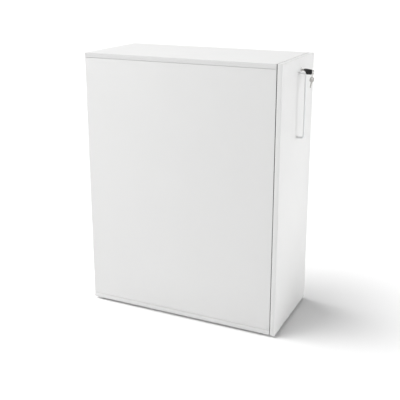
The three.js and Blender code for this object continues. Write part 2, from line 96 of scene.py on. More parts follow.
# ------------------------------ settings
class CabinetSizes(bpy.types.PropertyGroup):
    """Sizes of the details that the frame leaves open."""

    band: bpy.props.FloatProperty(
        name="Edge band", description="Thickness of the edge banding", default=0.001, unit="LENGTH")
    band_round: bpy.props.FloatProperty(
        name="Band rounding", description="Radius on the edges of the banding", default=0.0007,
        unit="LENGTH")
    board_round: bpy.props.FloatProperty(
        name="Board rounding", description="Radius on the cut edges of a board", default=0.0002,
        unit="LENGTH")
    joint: bpy.props.FloatProperty(
        name="Joint", description="Extra shadow gap where a side panel meets the top and bottom",
        default=0.0006, unit="LENGTH")
    pin_hole: bpy.props.FloatProperty(
        name="Pin hole", description="Radius of a shelf pin's hole", default=0.0028, unit="LENGTH")
    hole_pitch: bpy.props.FloatProperty(
        name="Hole pitch", description="Distance between two holes of a row", default=0.032,
        unit="LENGTH")
    handle_radius: bpy.props.FloatProperty(
        name="Handle rod", description="Radius of the bow handle's rod", default=0.004, unit="LENGTH")
    handle_bend: bpy.props.FloatProperty(
        name="Handle bend", description="Radius of the bow handle's bends", default=0.011, unit="LENGTH")
    ball: bpy.props.FloatProperty(
        name="Ball", description="Radius of a ball in the slides", default=0.0014, unit="LENGTH")
    ball_pitch: bpy.props.FloatProperty(
        name="Ball pitch", description="Distance between two balls", default=0.011, unit="LENGTH")


def colour_setting(label, what, colour):
    return bpy.props.FloatVectorProperty(
        name=label, description=what, default=colour, size=3, min=0, max=1, subtype="COLOR")


class CabinetColours(bpy.types.PropertyGroup):
    """Base colours of the finishes."""

    laminate: colour_setting("Laminate", "Faces of the carcass boards", (0.742, 0.742, 0.738))
    band: colour_setting("Edge band", "Banding on the boards' edges", (0.712, 0.712, 0.709))
    frame: colour_setting("Frame boards", "Boards of the pull-out's frame", (0.72, 0.72, 0.71))
    tray: colour_setting("Trays", "Powder coat of the steel trays", (0.60, 0.61, 0.615))
    handle: colour_setting("Handle", "Satin metal of the bow handle", (0.76, 0.765, 0.77))
    zinc: colour_setting("Zinc", "Zinc-plated steel", (0.56, 0.58, 0.60))
    nickel: colour_setting("Nickel", "Nickel-plated keys and lock", (0.56, 0.55, 0.53))
    foot: colour_setting("Feet", "Moulded glides of the feet", (0.46, 0.46, 0.455))
    chrome: colour_setting("Chrome", "Polished rim of the lock", (0.80, 0.80, 0.79))
    key: colour_setting("Key head", "Moulded head of the folding key", (0.006, 0.006, 0.007))


class CabinetStage(bpy.types.PropertyGroup):
    """Camera and light."""

    azimuth: bpy.props.FloatProperty(
        name="Azimuth", description="Direction of view about the vertical", default=math.radians(-64.83),
        subtype="ANGLE")
    elevation: bpy.props.FloatProperty(
        name="Elevation", description="Height of the camera above level", default=math.radians(15.36),
        subtype="ANGLE")
    position: bpy.props.FloatVectorProperty(
        name="Camera", description="Place of the camera", default=(-2.646, -1.219, 1.4465),
        subtype="XYZ")
    lens: bpy.props.FloatProperty(
        name="Lens", description="Focal length for a 36 mm sensor", default=64.0, unit="CAMERA")
    shift: bpy.props.FloatProperty(
        name="Shift", description="Vertical shift of the lens", default=-0.1)
    horizon: bpy.props.FloatProperty(
        name="Horizon", description="Strength of the white surround near the floor", default=1.15)
    zenith: bpy.props.FloatProperty(
        name="Zenith", description="Strength of the surround overhead", default=0.01)
    key_from: bpy.props.FloatVectorProperty(
        name="Key from", description="Direction of the key light", default=(-0.10, 0.30, 0.60),
        subtype="DIRECTION")
    key_power: bpy.props.FloatProperty(
        name="Key", description="Strength of the key light", default=3.46)
    key_spread: bpy.props.FloatProperty(
        name="Key spread", description="Width of the key light", default=math.radians(50),
        subtype="ANGLE")
    fill_from: bpy.props.FloatVectorProperty(
        name="Fill from", description="Direction of the front fill", default=(0.12, -0.33, 0.10),
        subtype="DIRECTION")
    fill_power: bpy.props.FloatProperty(
        name="Fill", description="Strength of the front fill", default=1.16)
    fill_spread: bpy.props.FloatProperty(
        name="Fill spread", description="Width of the front fill", default=math.radians(40),
        subtype="ANGLE")


def settings():
    scene = bpy.context.scene
    return scene.cabinet_sizes, scene.cabinet_colours, scene.cabinet_stage


# ------------------------------ shader groups
def shader_group(name, inputs, output, build):
    """A node group with float inputs and one float output, made once and reused."""
    group = bpy.data.node_groups.get(name)
    if group:
        return group
    group = bpy.data.node_groups.new(name, "ShaderNodeTree")
    for label, value in inputs.items():
        socket = group.interface.new_socket(label, in_out="INPUT", socket_type="NodeSocketFloat")
        socket.default_value = value
    group.interface.new_socket(output, in_out="OUTPUT", socket_type="NodeSocketFloat")
    source = group.nodes.new("NodeGroupInput")
    target = group.nodes.new("NodeGroupOutput")
    group.links.new(build(group, source.outputs), target.inputs[output])
    return group


def wire(tree, kind, links=None, **values):
    """Adds a node, sets its properties, and links or sets its inputs by name or number."""
    node = tree.nodes.new(kind)
    for key, value in values.items():
        setattr(node, key, value)
    for key, value in (links or {}).items():
        if isinstance(value, bpy.types.NodeSocket):
            tree.links.new(value, node.inputs[key])
        else:
            node.inputs[key].default_value = value
    return node


def drift_group():
    """Slow, cloudy change over a surface, from Low to High."""

    def build(tree, given):
        place = wire(tree, "ShaderNodeTexCoord").outputs["Object"]
        clouds = wire(tree, "ShaderNodeTexNoise", {
            "Vector": place, "Scale": given["Scale"], "Detail": 3.0, "Roughness": 0.55})
        span = wire(tree, "ShaderNodeMapRange", {
            "Value": clouds.outputs["Fac"], "From Min": 0.34, "From Max": 0.66,
            "To Min": given["Low"], "To Max": given["High"]})
        return span.outputs["Result"]

    return shader_group("Surface Drift", {"Scale": 6.0, "Low": 0.0, "High": 1.0}, "Value", build)


def grain_group():
    """Fine relief, stretched along one axis where wanted."""

    def build(tree, given):
        place = wire(tree, "ShaderNodeTexCoord").outputs["Object"]
        squeeze = wire(tree, "ShaderNodeCombineXYZ", {
            "X": given["Across X"], "Y": given["Across Y"], "Z": given["Across Z"]})
        spread = wire(tree, "ShaderNodeVectorMath", {0: place, 1: squeeze.outputs[0]},
                      operation="MULTIPLY")
        relief = wire(tree, "ShaderNodeTexNoise", {
            "Vector": spread.outputs[0], "Scale": given["Scale"], "Detail": 2.0, "Roughness": 0.6})
        return relief.outputs["Fac"]

    return shader_group(
        "Fine Grain", {"Scale": 900.0, "Across X": 1.0, "Across Y": 1.0, "Across Z": 1.0},
        "Height", build)


def scuff_group():
    """Thin, sparse scratches as a mask."""

    def build(tree, given):
        place = wire(tree, "ShaderNodeTexCoord").outputs["Object"]
        wobble = wire(tree, "ShaderNodeTexNoise", {
            "Vector": place, "Scale": given["Scale"], "Detail": 2.0})
        lines = wire(tree, "ShaderNodeTexWave", {
            "Vector": wobble.outputs["Color"], "Scale": 9.0, "Distortion": 6.0, "Detail": 3.0},
            wave_type="BANDS", bands_direction="DIAGONAL")
        thin = wire(tree, "ShaderNodeMapRange", {
            "Value": lines.outputs["Fac"], "From Min": 0.985, "From Max": 1.0,
            "To Min": 0.0, "To Max": given["Amount"]})
        return thin.outputs["Result"]

    return shader_group("Scuffs", {"Scale": 14.0, "Amount": 1.0}, "Mask", build)


# ------------------------------ finishes
def finish_material(name, colour, spread, roughness, grain, bump, stretch=(1, 1, 1), metal=0.0,
                    cloud=5.0, scuffs=0.0, specular=0.5):
    """A surface with cloudy colour and gloss, fine relief and sparse scuffs, all from its own place."""
    material = bpy.data.materials.new(name)
    material.use_nodes = True
    tree = material.node_tree
    shader = tree.nodes["Principled BSDF"]
    shader.inputs["Metallic"].default_value = metal
    shader.inputs["Specular IOR Level"].default_value = specular
    drift = wire(tree, "ShaderNodeGroup", node_tree=drift_group())
    drift.inputs["Scale"].default_value = cloud
    darker = tuple(c * (1 - spread) for c in colour) + (1,)
    tint = wire(tree, "ShaderNodeMix", {6: tuple(colour) + (1,), 7: darker, 0: drift.outputs[0]},
                data_type="RGBA")
    scuff = wire(tree, "ShaderNodeGroup", node_tree=scuff_group())
    scuff.inputs["Amount"].default_value = scuffs
    worn = wire(tree, "ShaderNodeMix", {
        6: tint.outputs[2], 7: tuple(c * 0.86 for c in colour) + (1,), 0: scuff.outputs[0]},
        data_type="RGBA")
    tree.links.new(worn.outputs[2], shader.inputs["Base Color"])
    gloss = wire(tree, "ShaderNodeGroup", node_tree=drift_group())
    gloss.inputs["Scale"].default_value = cloud * 2.3
    gloss.inputs["Low"].default_value, gloss.inputs["High"].default_value = roughness
    tree.links.new(gloss.outputs[0], shader.inputs["Roughness"])
    relief = wire(tree, "ShaderNodeGroup", node_tree=grain_group())
    for label, value in zip(("Scale", "Across X", "Across Y", "Across Z"), (grain, *stretch)):
        relief.inputs[label].default_value = value
    raised = wire(tree, "ShaderNodeBump", {
        "Strength": bump, "Distance": 0.0004, "Height": relief.outputs[0]})
    tree.links.new(raised.outputs[0], shader.inputs["Normal"])
    return material


def laminate(colours):
    return finish_material("White laminate", colours.laminate, 0.012, (0.42, 0.50), 1400, 0.10,
                           cloud=2.2, scuffs=0.05, specular=0.35)


def band(colours):
    return finish_material("Edge banding", colours.band, 0.02, (0.34, 0.44), 500, 0.08,
                           stretch=(0.06, 0.06, 1), cloud=4, scuffs=0.08, specular=0.35)


def frame_finish(colours):
    return finish_material("Frame laminate", colours.frame, 0.015, (0.50, 0.60), 1100, 0.14,
                           cloud=3, scuffs=0.06, specular=0.3)


def tray(colours):
    return finish_material("Powder coat", colours.tray, 0.02, (0.40, 0.52), 2200, 0.5,
                           cloud=7, scuffs=0.15)


def handle(colours):
    return finish_material("Satin metal", colours.handle, 0.03, (0.42, 0.50), 900, 0.12,
                           stretch=(1, 1, 0.05), metal=0.3, cloud=9, scuffs=0.1)


def zinc(colours):
    return finish_material("Zinc plate", colours.zinc, 0.12, (0.26, 0.42), 600, 0.12,
                           stretch=(1, 0.06, 1), metal=1.0, cloud=40, scuffs=0.3)


def nickel(colours):
    return finish_material("Nickel plate", colours.nickel, 0.1, (0.2, 0.32), 900, 0.08,
                           metal=1.0, cloud=90, scuffs=0.35)


def chrome(colours):
    return finish_material("Chrome plate", colours.chrome, 0.04, (0.16, 0.24), 900, 0.04,
                           metal=0.6, cloud=90, scuffs=0.3)


def foot(colours):
    return finish_material("Moulded glide", colours.foot, 0.05, (0.45, 0.6), 1600, 0.25,
                           cloud=60, scuffs=0.3)


def key(colours):
    return finish_material("Moulded key head", colours.key, 0.25, (0.38, 0.5), 2600, 0.4,
                           cloud=120, scuffs=0.5)


FINISHES = {
    "laminate": laminate, "band": band, "frame": frame_finish, "tray": tray, "handle": handle,
    "zinc": zinc, "nickel": nickel, "chrome": chrome, "foot": foot, "key": key,
}
made_finishes = {}


def finish(name):
    if name not in made_finishes:
        made_finishes[name] = FINISHES[name](settings()[1])
    return made_finishes[name]


# ------------------------------ mesh tools
def add_piece(name, bm, look, body, slot, nodes=()):
    """Turns bm into a piece with a finish that rides on a body and stands for some nodes."""
    bmesh.ops.recalc_face_normals(bm, faces=bm.faces)
    mesh = bpy.data.meshes.new(name)
    bm.to_mesh(mesh)
    bm.free()
    mesh.materials.append(finish(look))
    mesh.shade_smooth()
    mesh.set_sharp_from_angle(angle=SHARP_EDGE)
    piece = bpy.data.objects.new(name, mesh)
    bpy.context.scene.collection.objects.link(piece)
    if nodes:
        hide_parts(*nodes)
    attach(piece, body)
    return piece


def block(bm, low, high, radius=0.0, steps=2):
    """A box between two corners, with rounded edges."""
    verts = bmesh.ops.create_cube(bm, size=1)["verts"]
    for vert in verts:
        vert.co = Vector(low[i] + (vert.co[i] + 0.5) * (high[i] - low[i]) for i in range(3))
    if radius:
        edges = list({edge for vert in verts for edge in vert.link_edges})
        bmesh.ops.bevel(bm, geom=edges, offset=radius, segments=steps, affect="EDGES", profile=0.5)


def lathe(bm, profile, place=Matrix.Identity(4), sides=32):
    """Turns a profile of (radius, height) pairs, which starts and ends on the axis, about Z."""
    rings = []
    for radius, height in profile:
        count = sides if radius > 1e-9 else 1
        rings.append([
            bm.verts.new(place @ Vector((
                radius * math.cos(2 * math.pi * k / sides), radius * math.sin(2 * math.pi * k / sides),
                height)))
            for k in range(count)])
    for one, other in zip(rings, rings[1:]):
        for k in range(sides):
            corners = []
            for ring, step in ((one, k), (one, k + 1), (other, k + 1), (other, k)):
                vert = ring[step % len(ring)]
                if vert not in corners:
                    corners.append(vert)
            if len(corners) > 2:
                bm.faces.new(corners)


def tube(bm, path, radius, sides):
    """A round tube along points, with flat ends."""
    last = len(path) - 1
    heading = (path[1] - path[0]).normalized()
    side = heading.orthogonal().normalized()
    rings = []
    for k, point in enumerate(path):
        ahead = (path[min(k + 1, last)] - path[max(k - 1, 0)]).normalized()
        side = (side - ahead * side.dot(ahead)).normalized()
        up = ahead.cross(side)
        rings.append([
            bm.verts.new(point + radius * (side * math.cos(a) + up * math.sin(a)))
            for a in (2 * math.pi * s / sides for s in range(sides))])
    for one, other in zip(rings, rings[1:]):
        for s in range(sides):
            t = (s + 1) % sides
            bm.faces.new((one[s], one[t], other[t], other[s]))
    bm.faces.new(rings[0])
    bm.faces.new(rings[-1])


def slab(bm, outline, thickness, place, radius=0.0, steps=2):
    """Extrudes a flat outline by +-thickness / 2 along Z, rounds its rims, and puts it in place."""
    low = [bm.verts.new((x, y, -thickness / 2)) for x, y in outline]
    high = [bm.verts.new((x, y, thickness / 2)) for x, y in outline]
    faces = [bm.faces.new(low), bm.faces.new(high)]
    count = len(outline)
    for k in range(count):
        n = (k + 1) % count
        bm.faces.new((low[k], low[n], high[n], high[k]))
    made = low + high
    if radius:
        rims = [edge for face in faces for edge in face.edges]
        result = bmesh.ops.bevel(bm, geom=rims, offset=radius, segments=steps, affect="EDGES",
                                 profile=0.5)
        made = list({v for v in made if v.is_valid} | set(result["verts"]))
    bmesh.ops.transform(bm, matrix=place, verts=made)


def arc(centre, radius, start, end, steps=8):
    """Points on an arc, with its angles in degrees."""
    return [
        (centre[0] + radius * math.cos(math.radians(start + (end - start) * k / steps)),
         centre[1] + radius * math.sin(math.radians(start + (end - start) * k / steps)))
        for k in range(steps + 1)]


def rounded(x0, x1, y0, y1, radius, steps=6):
    """Outline of a rectangle with round corners."""
    r = radius
    return (arc((x1 - r, y1 - r), r, 0, 90, steps) + arc((x0 + r, y1 - r), r, 90, 180, steps)
            + arc((x0 + r, y0 + r), r, 180, 270, steps) + arc((x1 - r, y0 + r), r, 270, 360, steps))


def carved(bm, tools):
    """bm with the tools' shapes cut out of it."""
    pair = []
    for shape in (bm, tools):
        bmesh.ops.recalc_face_normals(shape, faces=shape.faces)
        mesh = bpy.data.meshes.new("carving")
        shape.to_mesh(mesh)
        shape.free()
        pair.append(bpy.data.objects.new("carving", mesh))
        bpy.context.scene.collection.objects.link(pair[-1])
    cutter = pair[0].modifiers.new("cut", "BOOLEAN")
    cutter.operation, cutter.solver, cutter.object = "DIFFERENCE", "EXACT", pair[1]
    graph = bpy.context.evaluated_depsgraph_get()
    result = bmesh.new()
    result.from_mesh(pair[0].evaluated_get(graph).to_mesh())
    for item in pair:
        bpy.data.meshes.remove(item.data)
    return result


def copies(bm, unit, places):
    """Adds a copy of the unit mesh at each place."""
    for place in places:
        mesh = unit.copy()
        mesh.transform(place)
        bm.from_mesh(mesh)
        bpy.data.meshes.remove(mesh)


def as_mesh(bm):
    """A plain mesh of bm, for copies to be made of."""
    mesh = bpy.data.meshes.new("unit")
    bmesh.ops.recalc_face_normals(bm, faces=bm.faces)
    bm.to_mesh(mesh)
    bm.free()
    return mesh


def facing(direction, at):
    """A matrix that turns +Z to a direction and moves to a point."""
    turn = Vector(direction).to_track_quat("Z", "Y").to_matrix().to_4x4()
    return Matrix.Translation(at) @ turn


def screw_head(radius, height):
    """A pan head with a cross recess, standing on z = 0."""
    bm = bmesh.new()
    dome = [(radius * math.cos(a), height * (0.35 + 0.65 * math.sin(a)))
            for a in (math.radians(10 * k) for k in range(1, 9))]
    lathe(bm, [(0, 0), (radius, 0), (radius, height * 0.35), *dome, (0, height)], sides=24)
    cross = bmesh.new()
    arm, half = radius * 0.62, radius * 0.13
    block(cross, (-arm, -half, height * 0.45), (arm, half, height * 2))
    block(cross, (-half, -arm, height * 0.4), (half, arm, height * 2))
    return as_mesh(carved(bm, cross))


def keep_node(name, look, radius):
    """Keeps a frame node's own shape, with its edges rounded, and gives it a finish."""
    node = frame["nodes"][name]
    node.data.materials.clear()
    node.data.materials.append(finish(look))
    weld = node.modifiers.new("weld", "WELD")
    weld.merge_threshold = 1e-6
    bevel = node.modifiers.new("bevel", "BEVEL")
    bevel.width = radius
    bevel.segments = 2
    bevel.limit_method = "ANGLE"
    bevel.angle_limit = math.radians(40)


# ------------------------------ boards
def side_of(sign_and_axis):
    """A side such as "-x" as the number of its axis and of the box corner it touches."""
    return "xyz".index(sign_and_axis[1]), (0 if sign_and_axis[0] == "-" else 1)


def banded_board(node, sizes, holes=None):
    """A board's core, and its edge banding as a piece of its own."""
    body, look, sides = BANDED[node]
    corners = [Vector(corner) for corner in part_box(node)]
    strips = bmesh.new()
    for side in sides:
        axis, end = side_of(side)
        strip = [Vector(corner) for corner in corners]
        inward = sizes.band if end == 0 else -sizes.band
        strip[1 - end][axis] = corners[end][axis] + inward
        block(strips, *strip, radius=min(sizes.band_round, sizes.band * 0.45), steps=3)
        corners[end][axis] += inward
    if "side_panel" in node:
        corners[0].z += sizes.joint
        corners[1].z -= sizes.joint
    core = bmesh.new()
    block(core, *corners, radius=sizes.board_round)
    if holes:
        core = carved(core, holes)
    add_piece(node + "_core", core, look, body, look, [node])
    add_piece(node + "_banding", strips, "band", body, look)


def pin_rows(sizes, face, into):
    """Blind holes round each shelf pin, in rows, as one tool for a board's inner face."""
    tools = bmesh.new()
    deep = 0.012
    each_way = 3
    drill = [(0, 0), (sizes.pin_hole, 0), (sizes.pin_hole, 2 * deep), (0, 2 * deep)]
    for level in LEVELS:
        for side in SIDES:
            low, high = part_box(f"shelf_pin_{level}_{'front' if into < 0 else 'rear'}_{side}")
            x, z = (low.x + high.x) / 2, (low.z + high.z) / 2
            for step in range(-each_way, each_way + 1):
                at = Vector((x, face + into * deep, z + step * sizes.hole_pitch))
                lathe(tools, drill, facing((0, -into, 0), at), sides=20)
    return tools


class CABINET_OT_boards(bpy.types.Operator):
    """Makes every board with its edge banding, and the back panel"""

    bl_idname = "cabinet.boards"
    bl_label = "Boards"

    def execute(self, context):
        sizes = settings()[0]
        holes = {
            "front_panel": lambda: pin_rows(sizes, BACK_OF_FRONT, -1),
            "rear_board": lambda: pin_rows(sizes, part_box("rear_board")[0].y, 1),
        }
        for node in BANDED:
            banded_board(node, sizes, holes[node]() if node in holes else None)
        keep_node("back_panel", "laminate", 0.0004)
        return {"FINISHED"}


def cap_places():
    """White covers over the cam fittings, on the inner faces of the rails."""
    from_end, from_top = 0.034, 0.016
    for level in LEVELS:
        for side, sign in SIDES.items():
            low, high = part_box(f"{level}_rail_{side}")
            inner = low.x if sign > 0 else high.x
            for y in (low.y + from_end, high.y - from_end):
                yield facing((-sign, 0, 0), (inner, y, high.z - from_top))


class CABINET_OT_fittings(bpy.types.Operator):
    """Makes the cam covers, the screws under the bottom, the front's buffers and the shelf pins"""

    bl_idname = "cabinet.fittings"
    bl_label = "Fittings"

    def execute(self, context):
        self.cam_covers()
        self.bottom_screws()
        self.buffers()
        self.gap_shade_strip()
        for level in LEVELS:
            for end in ENDS:
                for side in SIDES:
                    self.shelf_pin(f"shelf_pin_{level}_{end}_{side}")
        return {"FINISHED"}

    def cam_covers(self):
        cover = bmesh.new()
        lathe(cover, [
            (0, 0.0003), (0.004, 0.0003), (0.0045, 0.0008), (0.0078, 0.0008), (0.0085, 0.0002),
            (0.0085, -0.001), (0, -0.001)])
        covers = bmesh.new()
        copies(covers, as_mesh(cover), cap_places())
        add_piece("cam_covers", covers, "band", "pull_out", "frame")

    def bottom_screws(self):
        low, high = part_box("bottom_panel")
        from_side = 0.01
        screws = bmesh.new()
        copies(screws, screw_head(0.0048, 0.0014), [
            facing((0, 0, -1), (x, low.y + (high.y - low.y) * share, low.z))
            for x in (low.x + from_side, high.x - from_side) for share in (0.12, 0.5, 0.88)])
        add_piece("bottom_screws", screws, "zinc", "cabinet", "zinc")

    def buffers(self):
        """Soft domes near the corners of the front's inner face."""
        buffer = bmesh.new()
        lathe(buffer, [
            (0, 0.0018), (0.0022, 0.0017), (0.0036, 0.0012), (0.0042, 0.0005), (0.0042, -0.0005),
            (0, -0.0005)])
        from_side, from_foot, from_top = 0.01, 0.02, 0.04
        buffers = bmesh.new()
        copies(buffers, as_mesh(buffer), [
            facing((0, 1, 0), (x, BACK_OF_FRONT, z))
            for x in (FRONT_LO.x + from_side, FRONT_HI.x - from_side)
            for z in (FRONT_LO.z + from_foot, FRONT_HI.z - from_top)])
        add_piece("front_buffers", buffers, "foot", "pull_out", "foot")

    def gap_shade_strip(self):
        """A black strip in the shadow gap: painted shade that makes the gap line read dark. It is set
        back further from the sides towards the floor, so the gap reads darker near the top than near the
        floor.
        """
        high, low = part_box("top_panel")[1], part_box("bottom_panel")[0]
        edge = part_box("top_panel")[0].y
        wide, thick, proud = 0.002, 0.0016, 0.0004
        near_top, near_floor = 0.0012, 0.0072
        upright_strip = Matrix((
            (1, 0, 0, 0), (0, 0, -1, edge - thick / 2 + proud / 2), (0, 1, 0, 0), (0, 0, 0, 1)))
        bm = bmesh.new()
        for sign in (-1, 1):
            outline = [
                (sign * (high.x - near_top), high.z - near_top),
                (sign * (high.x - near_floor), low.z + near_top),
                (sign * (high.x - near_floor - wide), low.z + near_top),
                (sign * (high.x - near_top - wide), high.z - near_top)]
            slab(bm, outline, thick + proud, upright_strip, 0.0003)
        for z, inset in ((low.z + near_top, near_floor), (high.z - near_top - wide, near_top)):
            block(bm, (low.x + inset + wide, edge - thick, z),
                  (high.x - inset - wide, edge + proud, z + wide), 0.0003)
        # the black strip is painted shade for the gap, not a real seal
        add_piece("gap_shade_strip", bm, "key", "cabinet", "key")

    def shelf_pin(self, node):
        """A steel pin with a collar against the board and a rounded tip."""
        low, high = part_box(node)
        centre = (low + high) / 2
        half, radius = (high.y - low.y) / 2, (high.x - low.x) / 2
        out = 1 if centre.y < 0 else -1
        bm = bmesh.new()
        lathe(bm, [
            (0, -half), (radius - 0.0006, -half), (radius, -half + 0.0006), (radius, 0),
            (radius + 0.0012, 0.0001), (radius + 0.0012, 0.0012), (radius, 0.0014),
            (radius, half - 0.001), (radius - 0.001, half), (0, half)],
            facing((0, out, 0), centre), sides=24)
        add_piece(node + "_turned", bm, "nickel", "pull_out", "nickel", [node])


# ------------------------------ trays
class CABINET_OT_trays(bpy.types.Operator):
    """Makes the folded steel trays, with round bends, hemmed lips and slots for dividers"""

    bl_idname = "cabinet.trays"
    bl_label = "Trays"

    def execute(self, context):
        for level in LEVELS:
            self.tray(level + "_tray")
        return {"FINISHED"}

    def tray(self, node):
        low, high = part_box(node)
        sheet, bend, hem = 0.002, 0.004, 0.0045
        right = [
            *arc((high.x - bend, low.z + bend), bend, -90, 0),
            (high.x, high.z - 0.001), *arc((high.x - 0.002, high.z - 0.002), 0.002, 0, 90, 4),
            *arc((high.x - hem + 0.001, high.z - 0.001), 0.001, 90, 180, 3),
            (high.x - hem, high.z - 0.012), (high.x - sheet, high.z - 0.0125),
            *arc((high.x - bend, low.z + bend), bend - sheet, 0, -90),
        ]
        outline = right + [(-x, z) for x, z in reversed(right)]
        bm = bmesh.new()
        place = Matrix(((1, 0, 0, 0), (0, 0, -1, (low.y + high.y) / 2), (0, 1, 0, 0), (0, 0, 0, 1)))
        slab(bm, outline, high.y - low.y, place, radius=0.0003, steps=1)
        slots = bmesh.new()
        count, half = 11, 0.011
        for k in range(count):
            y = low.y + (high.y - low.y) * (k + 1) / (count + 1)
            for x in (-0.09, 0.09):
                shape = rounded(x - half, x + half, -0.0016, 0.0016, 0.0015, 4)
                slab(slots, shape, 4 * sheet, Matrix.Translation((0, y, low.z + sheet / 2)))
        add_piece(node + "_folded", carved(bm, slots), "tray", "pull_out", "tray", [node])


# ------------------------------ slides
class CABINET_OT_slides(bpy.types.Operator):
    """Finishes the slides, and adds their screws, balls, ball cages, stops and release levers"""

    bl_idname = "cabinet.slides"
    bl_label = "Slides"

    def execute(self, context):
        sizes = settings()[0]
        ball = bmesh.new()
        bmesh.ops.create_uvsphere(ball, u_segments=10, v_segments=7, radius=sizes.ball)
        ball = as_mesh(ball)
        head = screw_head(0.0034, 0.0016)
        for level in LEVELS:
            for side, sign in SIDES.items():
                place = f"{level}_{side}"
                boxes = []
                for member in ("outer", "middle", "inner"):
                    boxes.append(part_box(f"slide_{member}_{place}"))
                    keep_node(f"slide_{member}_{place}", "zinc", 0.0004)
                self.running_gear(place, sign, boxes, ball, sizes)
                self.fixings(place, sign, boxes, head)
                self.stop_and_lever(place, sign, boxes)
        return {"FINISHED"}

    def running_gear(self, place, sign, boxes, ball, sizes):
        """Rows of balls in cages: one pair at the rear of the middle member, one pair at its front."""
        outer, middle = boxes[:2]
        middle_z = (middle[0].z + middle[1].z) / 2
        length = middle[1].y - middle[0].y
        beside = abs(middle[0].x if sign > 0 else middle[1].x) + 0.0026
        half_wide, half_thick, rim = 0.0021, 0.0004, 0.006
        rows = [
            (outer[1].z - SLIDE_SHEET - sizes.ball - middle_z, middle[0].y + length * 0.55),
            (middle[1].z - SLIDE_SHEET - sizes.ball - middle_z, middle[0].y + length * 0.06),
        ]
        balls, cages = bmesh.new(), bmesh.new()
        for height, start in rows:
            count = int(length * 0.38 / sizes.ball_pitch)
            for up in (-1, 1):
                z = middle_z + up * height
                copies(balls, ball, [
                    Matrix.Translation((sign * beside, start + k * sizes.ball_pitch, z))
                    for k in range(count)])
                block(cages, (sign * beside - half_wide, start - rim, z - half_thick),
                      (sign * beside + half_wide, start + count * sizes.ball_pitch, z + half_thick),
                      0.0002, 1)
        add_piece(f"slide_balls_{place}", balls, "nickel", "slide_middles", "zinc")
        add_piece(f"slide_cages_{place}", cages, "zinc", "slide_middles", "zinc")

    def fixings(self, place, sign, boxes, head):
        """Screws through the webs of the outer and the inner member."""
        outer, _, inner = boxes
        z = (outer[0].z + outer[1].z) / 2
        length = outer[1].y - outer[0].y
        webs = {
            "cabinet": (outer[1].x - SLIDE_SHEET if sign > 0 else outer[0].x + SLIDE_SHEET, -sign),
            "pull_out": (inner[0].x + SLIDE_SHEET if sign > 0 else inner[1].x - SLIDE_SHEET, sign),
        }
        for body, (x, towards) in webs.items():
            bm = bmesh.new()
            copies(bm, head, [
                facing((towards, 0, 0), (x, outer[0].y + length * share, z))
                for share in (0.05, 0.5, 0.93)])
            add_piece(f"slide_screws_{body}_{place}", bm, "zinc", body, "zinc")

    def stop_and_lever(self, place, sign, boxes):
        """A rubber stop at the rear of the outer member, and a black release lever on the inner one."""
        outer, _, inner = boxes
        z = (outer[0].z + outer[1].z) / 2
        length = outer[1].y - outer[0].y
        near, far, half, thick = 0.001, 0.008, 0.012, 0.006
        wall = outer[1].x if sign > 0 else outer[0].x
        x0, x1 = sorted((wall - sign * near, wall - sign * far))
        stop = bmesh.new()
        block(stop, (x0, outer[1].y, z - half), (x1, outer[1].y + thick, z + half), 0.0015, 3)
        add_piece(f"slide_stop_{place}", stop, "key", "cabinet", "key")
        lever = bmesh.new()
        shape = rounded(-0.017, 0.017, -0.0035, 0.0035, 0.0034, 5)
        web = inner[0].x + 0.0022 if sign > 0 else inner[1].x - 0.0022
        middle = inner[0].y + length * 0.62
        turn = Matrix(((0, 0, 1, web), (1, 0, 0, middle), (0, 1, 0, z), (0, 0, 0, 1)))
        slab(lever, shape, 0.0016, turn, 0.0004)
        add_piece(f"slide_lever_{place}", lever, "key", "pull_out", "key")


# ------------------------------ handle
class CABINET_OT_handle(bpy.types.Operator):
    """Makes the bow handle and the heads of its screws"""

    bl_idname = "cabinet.handle"
    bl_label = "Handle"

    def execute(self, context):
        sizes = settings()[0]
        low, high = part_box("bow_handle")
        radius, bend = sizes.handle_radius, sizes.handle_bend
        grip_y = low.y + radius
        top, bottom = high.z - radius, low.z + radius
        midway = (high.y + grip_y) / 2
        places = [(high.y, top), (midway, top)]
        places += [(grip_y + bend - y, top - bend + z) for y, z in arc((0, 0), bend, 90, 0, 14)]
        places += [(grip_y, bottom + (top - bottom) * share) for share in (0.75, 0.5, 0.25)]
        places += [(grip_y + bend - y, bottom + bend + z) for y, z in arc((0, 0), bend, 0, -90, 14)]
        places += [(midway, bottom), (high.y, bottom)]
        bm = bmesh.new()
        tube(bm, [Vector((0, y, z)) for y, z in places], radius, 32)
        add_piece("bow_handle_swept", bm, "handle", "pull_out", "handle", ["bow_handle"])
        head, shank = 0.0023, 0.0019
        for place in ("upper", "lower"):
            node = "handle_screw_" + place
            start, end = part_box(node)
            centre = (start + end) / 2
            screw = bmesh.new()
            seat = end.y - head
            copies(screw, screw_head(0.004, head), [facing((0, 1, 0), (centre.x, seat, centre.z))])
            lathe(screw, [(0, 0), (shank, 0), (shank, seat - start.y), (0, seat - start.y)],
                  facing((0, 1, 0), (centre.x, start.y, centre.z)), sides=20)
            add_piece(node + "_turned", screw, "zinc", "pull_out", "zinc", [node])
        return {"FINISHED"}


# ------------------------------ lock and keys
def upright(origin, turn=0.0):
    """Places a flat outline drawn outwards (+x) and up (+y) from a point on the key, edge-on to X."""
    flat = Matrix(((0, 0, 1, 0), (-1, 0, 0, 0), (0, 1, 0, 0), (0, 0, 0, 1)))
    return Matrix.Translation(origin) @ Matrix.Rotation(turn, 4, "X") @ flat


